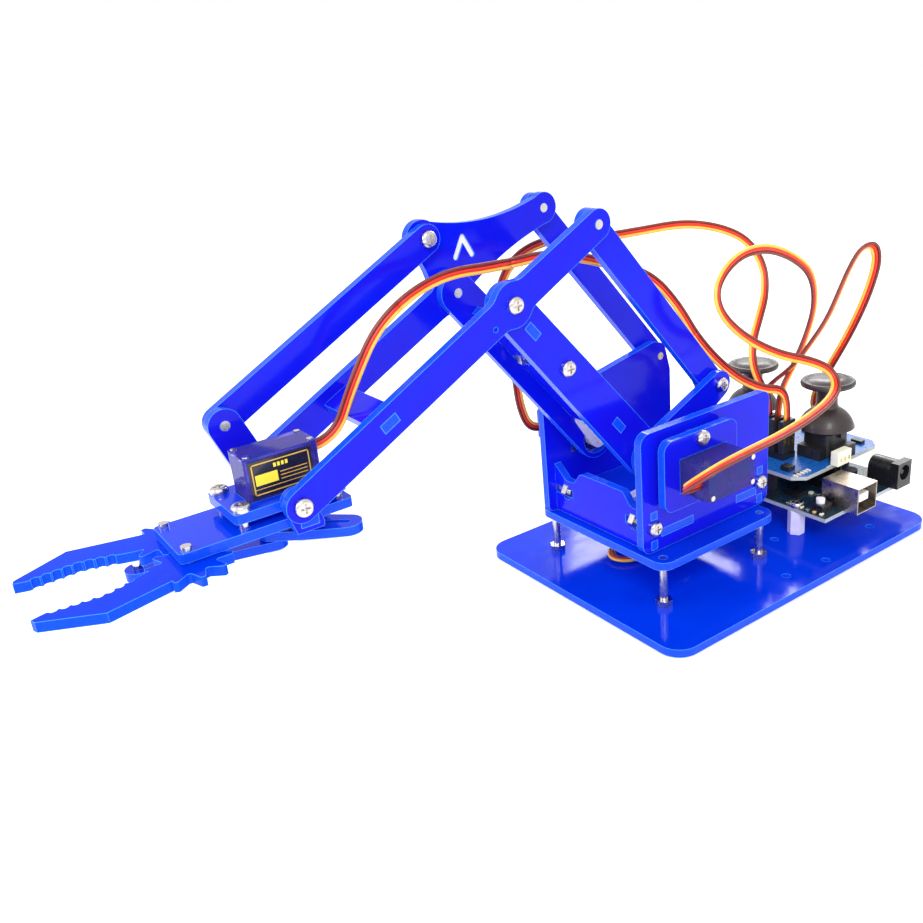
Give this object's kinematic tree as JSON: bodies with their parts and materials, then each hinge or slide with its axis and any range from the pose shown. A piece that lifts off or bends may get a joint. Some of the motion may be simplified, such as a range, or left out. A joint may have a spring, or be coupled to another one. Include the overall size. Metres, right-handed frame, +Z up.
{
  "type": "desktop robot arm",
  "caption": "Desktop linkage robot arm in blue sheet acrylic with a turning turret, levelled gripper hand, hobby servos and a two-stick controller on its base plate.",
  "frame": {"origin": "on the turret's turning axis, at the underside of the base plate", "axes": "+Z up, +X along the reach of the arm at rest, +Y to the elbow servo's side"},
  "size_m": [0.3283, 0.108, 0.1449],
  "materials": {
    "blue_acrylic": "polished cast acrylic",
    "steel": "plated steel",
    "servo_case": "translucent tinted plastic",
    "servo_works": "motor, gears and board",
    "white_plastic": "moulded nylon",
    "nylon": "moulded nylon",
    "board_dark": "solder mask",
    "black_plastic": "moulded",
    "socket_steel": "folded tin-plated steel",
    "board_blue": "solder mask",
    "stick_rubber": "soft-touch moulding",
    "lead_wires": "ribbon of three wires"
  },
  "bodies": {
    "base": {"base_plate": "blue_acrylic", "deck_plate": "blue_acrylic", "base_fasteners": "steel", "base_servo_case": "servo_case", "base_servo_works": "servo_works", "base_servo_collar": "blue_acrylic", "board_spacers": "nylon", "controller_board": "board_dark", "controller_parts": "black_plastic", "board_sockets": "socket_steel", "shield_board": "board_blue", "shield_parts": "black_plastic", "joystick_frames": "black_plastic", "servo_plugs": "black_plastic", "gripper_lead": "lead_wires", "elbow_lead": "lead_wires", "shoulder_lead": "lead_wires", "base_lead": "lead_wires"},
    "reset_button": {"reset_button": "white_plastic"},
    "turret": {"turret_floor": "blue_acrylic", "near_panel": "blue_acrylic", "far_panel": "blue_acrylic", "cross_panels": "blue_acrylic", "servo_collars": "blue_acrylic", "turret_fasteners": "steel", "elbow_servo_case": "servo_case", "shoulder_servo_case": "servo_case", "turret_servo_works": "servo_works"},
    "lower_arm": {"lower_arm_near": "blue_acrylic", "lower_arm_far": "blue_acrylic", "lower_arm_web": "blue_acrylic", "lower_arm_fasteners": "steel"},
    "elbow_lever": {"elbow_lever": "blue_acrylic", "elbow_horn": "white_plastic"},
    "lever_pin": {"lever_pin": "steel"},
    "elbow_rod": {"elbow_rod": "blue_acrylic"},
    "triangle": {"triangle_plate": "blue_acrylic", "triangle_front_screw": "steel"},
    "forearm": {"forearm_near": "blue_acrylic", "forearm_far": "blue_acrylic", "forearm_webs": "blue_acrylic", "rod_tail_screw": "steel"},
    "lower_level_rod": {"lower_level_rod": "blue_acrylic", "level_rod_screws": "steel"},
    "upper_level_rod": {"upper_level_rod": "blue_acrylic"},
    "hand": {"hand_plates": "blue_acrylic", "hand_brackets": "blue_acrylic", "hand_fasteners": "steel", "gripper_servo_case": "servo_case", "gripper_servo_works": "servo_works"},
    "near_jaw": {"near_jaw": "blue_acrylic"},
    "far_jaw": {"far_jaw": "blue_acrylic"},
    "gripper_lever": {"gripper_lever": "blue_acrylic"},
    "gripper_link": {"gripper_link": "blue_acrylic"},
    "near_yoke": {"near_stick_yoke": "black_plastic"},
    "near_stick": {"near_stick_shaft": "black_plastic"},
    "near_cap": {"near_stick_cap": "stick_rubber"},
    "far_yoke": {"far_stick_yoke": "black_plastic"},
    "far_stick": {"far_stick_shaft": "black_plastic"},
    "far_cap": {"far_stick_cap": "stick_rubber"}
  },
  "joints": [
    {"name": "turret_yaw", "type": "hinge", "parent": "base", "child": "turret", "pos_m": [0, 0, 0.027], "axis": [0, 0, 1], "range_deg": [-90, 90], "deforming": ["gripper_lead", "elbow_lead", "shoulder_lead"]},
    {"name": "shoulder", "type": "hinge", "parent": "turret", "child": "lower_arm", "pos_m": [0.012, -0.0184, 0.051], "axis": [0, -1, 0], "range_deg": [-22, 45], "deforming": ["gripper_lead"]},
    {"name": "elbow", "type": "hinge", "parent": "turret", "child": "elbow_lever", "pos_m": [0.012, 0.0109, 0.051], "axis": [0, -1, 0], "range_deg": [-22, 35], "deforming": ["gripper_lead"]},
    {"name": "level_rod_swing", "type": "hinge", "parent": "turret", "child": "lower_level_rod", "pos_m": [-0.03114, -0.0314, 0.07204], "axis": [0, -1, 0], "range_deg": [-22, 45]},
    {"name": "triangle_swing", "type": "hinge", "parent": "lower_arm", "child": "triangle", "pos_m": [0.06857, -0.0267, 0.11841], "axis": [0, -1, 0], "range_deg": [-45, 22], "deforming": ["gripper_lead"]},
    {"name": "forearm_swing", "type": "hinge", "parent": "triangle", "child": "forearm", "pos_m": [0.06857, 0, 0.11841], "axis": [0, -1, 0], "range_deg": [-22, 35], "deforming": ["gripper_lead"]},
    {"name": "wrist_swing", "type": "hinge", "parent": "forearm", "child": "hand", "pos_m": [0.14627, 0, 0.0771], "axis": [0, -1, 0], "range_deg": [-35, 22], "deforming": ["gripper_lead"]},
    {"name": "upper_rod_swing", "type": "hinge", "parent": "triangle", "child": "upper_level_rod", "pos_m": [0.07606, -0.0233, 0.13696], "axis": [0, -1, 0], "range_deg": [-22, 35]},
    {"name": "lever_pin_turn", "type": "hinge", "parent": "elbow_lever", "child": "lever_pin", "pos_m": [-0.02332, 0.01, 0.06978], "axis": [0, -1, 0], "range_deg": [-35, 22]},
    {"name": "elbow_rod_swing", "type": "hinge", "parent": "lever_pin", "child": "elbow_rod", "pos_m": [-0.02332, 0.0075, 0.06978], "axis": [0, -1, 0], "range_deg": [-22, 45]},
    {"name": "gripper", "type": "hinge", "parent": "hand", "child": "gripper_lever", "pos_m": [0.13977, -0.0062, 0.062], "axis": [0, 0, 1], "range_deg": [-20, 15]},
    {"name": "far_jaw_swing", "type": "hinge", "parent": "hand", "child": "far_jaw", "pos_m": [0.17777, -0.0162, 0.067], "axis": [0, 0, 1], "range_deg": [-20, 15]},
    {"name": "near_jaw_swing", "type": "hinge", "parent": "hand", "child": "near_jaw", "pos_m": [0.17777, 0.0038, 0.067], "axis": [0, 0, 1], "range_deg": [-15, 20]},
    {"name": "link_swing", "type": "hinge", "parent": "gripper_lever", "child": "gripper_link", "pos_m": [0.14836, -0.0112, 0.059], "axis": [0, 0, 1], "range_deg": [-15, 20]},
    {"name": "near_stick_fore_aft", "type": "hinge", "parent": "base", "child": "near_yoke", "pos_m": [-0.08, 0.0185, 0.0365], "axis": [0, 1, 0], "range_deg": [-20, 20], "stiffness_Nm_per_rad": 0.03, "deforming": ["gripper_lead", "elbow_lead", "shoulder_lead", "base_lead"]},
    {"name": "near_stick_side", "type": "hinge", "parent": "near_yoke", "child": "near_stick", "pos_m": [-0.08, 0.0185, 0.0365], "axis": [1, 0, 0], "range_deg": [-20, 20], "stiffness_Nm_per_rad": 0.03, "deforming": ["gripper_lead", "elbow_lead", "shoulder_lead", "base_lead"]},
    {"name": "near_stick_press", "type": "slide", "parent": "near_stick", "child": "near_cap", "axis": [0, 0, 1], "range_m": [-0.0008, 0], "stiffness_N_per_m": 900, "springref_m": 0.0015},
    {"name": "far_stick_fore_aft", "type": "hinge", "parent": "base", "child": "far_yoke", "pos_m": [-0.08, -0.0195, 0.0365], "axis": [0, 1, 0], "range_deg": [-20, 20], "stiffness_Nm_per_rad": 0.03, "deforming": ["gripper_lead", "elbow_lead", "shoulder_lead", "base_lead"]},
    {"name": "far_stick_side", "type": "hinge", "parent": "far_yoke", "child": "far_stick", "pos_m": [-0.08, -0.0195, 0.0365], "axis": [1, 0, 0], "range_deg": [-20, 20], "stiffness_Nm_per_rad": 0.03, "deforming": ["gripper_lead", "elbow_lead", "shoulder_lead", "base_lead"]},
    {"name": "far_stick_press", "type": "slide", "parent": "far_stick", "child": "far_cap", "axis": [0, 0, 1], "range_m": [-0.0008, 0], "stiffness_N_per_m": 900, "springref_m": 0.0015},
    {"name": "reset_press", "type": "slide", "parent": "base", "child": "reset_button", "axis": [0, 0, 1], "range_m": [-0.0003, 0], "stiffness_N_per_m": 900, "springref_m": 0.0006}
  ],
  "couplings": [
    {"joint": "level_rod_swing", "follows": "shoulder", "ratio": 1},
    {"joint": "triangle_swing", "follows": "shoulder", "ratio": -1},
    {"joint": "forearm_swing", "follows": "elbow", "ratio": 1},
    {"joint": "wrist_swing", "follows": "elbow", "ratio": -1},
    {"joint": "upper_rod_swing", "follows": "elbow", "ratio": 1},
    {"joint": "lever_pin_turn", "follows": "elbow", "ratio": -1},
    {"joint": "elbow_rod_swing", "follows": "shoulder", "ratio": 1},
    {"joint": "far_jaw_swing", "follows": "gripper", "ratio": 1},
    {"joint": "near_jaw_swing", "follows": "gripper", "ratio": -1},
    {"joint": "link_swing", "follows": "gripper", "ratio": -1}
  ]
}
